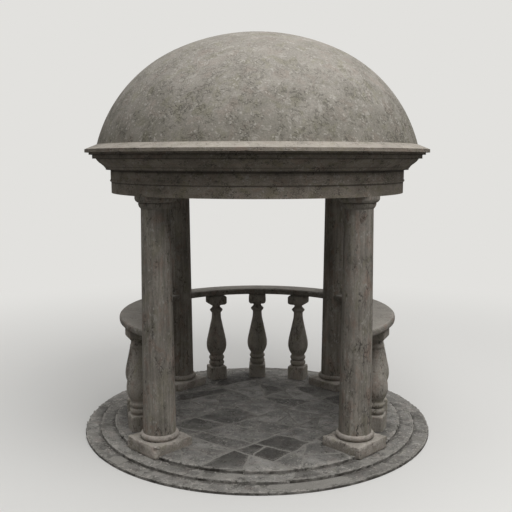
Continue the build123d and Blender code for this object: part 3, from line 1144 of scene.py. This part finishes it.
class ROTUNDA_OT_finish_dome(bpy.types.Operator):
    """Weather the dome"""

    bl_idname = "rotunda.finish_dome"
    bl_label = "Finish Dome"

    def execute(self, context):
        stone = context.scene.rotunda_stone
        finish = weathered_stone(
            "dome_limestone", stone.dome, stone, patch=4.0, grain=29.0, cracks=0.6, flecks=0.75, moss=0.4,
            blush=0.3, contrast=0.07, grit=0.16, top_light_and_bleach=0.0, calm=0.7, dark=0.4, stain=0.15, bump=0.45,
            soil=(2.95, 3.5, 0.3),
        )
        coat(finish, "dome")
        return {"FINISHED"}


class ROTUNDA_OT_set_stage(bpy.types.Operator):
    """Set the studio floor, the light and the camera"""

    bl_idname = "rotunda.set_stage"
    bl_label = "Set Stage"

    def execute(self, context):
        stage = context.scene.rotunda_stage
        self.lay_ground(stage)
        self.light(context, stage)
        self.aim(context, stage)
        context.scene.view_settings.view_transform = "Standard"
        return {"FINISHED"}

    def lay_ground(self, stage):
        """Round floor that fades into the backdrop and reflects little light."""
        start_clean()
        bpy.ops.mesh.primitive_circle_add(
            vertices=96, radius=GROUND_RADIUS, fill_type="NGON", location=(0, 0, -CLEARANCE)
        )
        ground = bpy.context.object
        ground.name = "studio_floor"
        bpy.ops.object.transform_apply(location=True)
        edit(ground)
        for width in GROUND_RINGS:
            bpy.ops.mesh.inset(thickness=width)
        leave(ground)
        material, recipe, shader = new_material("studio_floor")
        away = recipe.distance(recipe.place())
        seen = recipe.add("ShaderNodeLightPath").outputs["Is Camera Ray"]
        shade = recipe.blend(seen, scaled(stage.ground, 0.25), stage.ground)
        recipe.fill(shader.inputs["Base Color"], shade)
        shader.inputs["Roughness"].default_value = 0.9
        glow = recipe.add("ShaderNodeEmission", Color=stage.ground, Strength=1.0)
        far = recipe.product(recipe.fade(away, 3.0, 9.0), seen)
        recipe.show(far, shader, glow, "Material Output")
        ground.data.materials.append(material)

    def light(self, context, stage):
        """Even sky, brightest overhead, and one large soft lamp above."""
        world = bpy.data.worlds.new("studio")
        context.scene.world = world
        world.use_nodes = True
        recipe = Recipe(world.node_tree)
        dome = world.node_tree.nodes["Background"]
        way = recipe.add("ShaderNodeTexCoord").outputs["Generated"]
        side = recipe.axes(way)
        level = recipe.fade(side["Z"], 0.15, 1.0, 0.08, 1.3)
        level = recipe.product(level, recipe.fade(side["X"], -1.0, 1.0, 0.92, 1.08))
        level = recipe.product(level, recipe.fade(side["Y"], -1.0, 1.0, 0.75, 1.7))
        recipe.fill(dome.inputs["Color"], recipe.grey(level))
        dome.inputs["Strength"].default_value = stage.sky
        backdrop = recipe.add("ShaderNodeBackground", Color=stage.ground, Strength=1.0)
        seen = recipe.add("ShaderNodeLightPath").outputs["Is Camera Ray"]
        recipe.show(seen, dome, backdrop, "World Output")
        start_clean()
        turn = (LAMP_TARGET - LAMP_PLACE).to_track_quat("-Z", "Y").to_euler()
        bpy.ops.object.light_add(type="AREA", location=LAMP_PLACE, rotation=turn)
        lamp = bpy.context.object
        lamp.name = "overhead_lamp"
        lamp.data.shape = "DISK"
        lamp.data.size = LAMP_SIZE
        lamp.data.energy = stage.lamp

    def aim(self, context, stage):
        """Camera in front, a little above head height."""
        start_clean()
        bpy.ops.object.camera_add(
            location=(0, -stage.distance, stage.height), rotation=(math.pi / 2 - stage.pitch, 0, 0)
        )
        camera = bpy.context.object
        camera.name = "front_camera"
        camera.data.lens = stage.lens
        camera.data.sensor_width = 36
        camera.data.shift_x = stage.shift
        camera.data.clip_end = 200
        context.scene.camera = camera


class ROTUNDA_PT_panel(bpy.types.Panel):
    """Sizes, colours and steps of the rotunda"""

    bl_idname = "ROTUNDA_PT_panel"
    bl_label = "Stone Rotunda"
    bl_space_type = "VIEW_3D"
    bl_region_type = "UI"
    bl_category = "Rotunda"

    def draw(self, context):
        for group in SETTINGS:
            settings = getattr(context.scene, group)
            box = self.layout.box()
            for key in settings.bl_rna.properties.keys():
                if key not in ("rna_type", "name"):
                    box.prop(settings, key)
        for maker in MAKERS:
            self.layout.operator(maker.bl_idname)


SETTINGS = {
    "rotunda_paving": RotundaPaving,
    "rotunda_plinths": RotundaPlinths,
    "rotunda_stone": RotundaStone,
    "rotunda_stage": RotundaStage,
}
MAKERS = (
    ROTUNDA_OT_lay_paving,
    ROTUNDA_OT_finish_columns,
    ROTUNDA_OT_finish_balustrade,
    ROTUNDA_OT_finish_entablature,
    ROTUNDA_OT_finish_dome,
    ROTUNDA_OT_set_stage,
)


def register():
    """Add the classes and their settings to Blender."""
    for made in (*SETTINGS.values(), *MAKERS, ROTUNDA_PT_panel):
        bpy.utils.register_class(made)
    for key, group in SETTINGS.items():
        setattr(bpy.types.Scene, key, bpy.props.PointerProperty(type=group))


def unregister():
    """Take the classes and their settings out of Blender."""
    for key in SETTINGS:
        delattr(bpy.types.Scene, key)
    for made in reversed((*SETTINGS.values(), *MAKERS, ROTUNDA_PT_panel)):
        bpy.utils.unregister_class(made)


def main():
    """Make every piece in order."""
    register()
    bpy.ops.rotunda.lay_paving()
    bpy.ops.rotunda.finish_columns()
    bpy.ops.rotunda.finish_balustrade()
    bpy.ops.rotunda.finish_entablature()
    bpy.ops.rotunda.finish_dome()
    bpy.ops.rotunda.set_stage()
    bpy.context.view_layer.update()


if __name__ == "__main__":
    main()
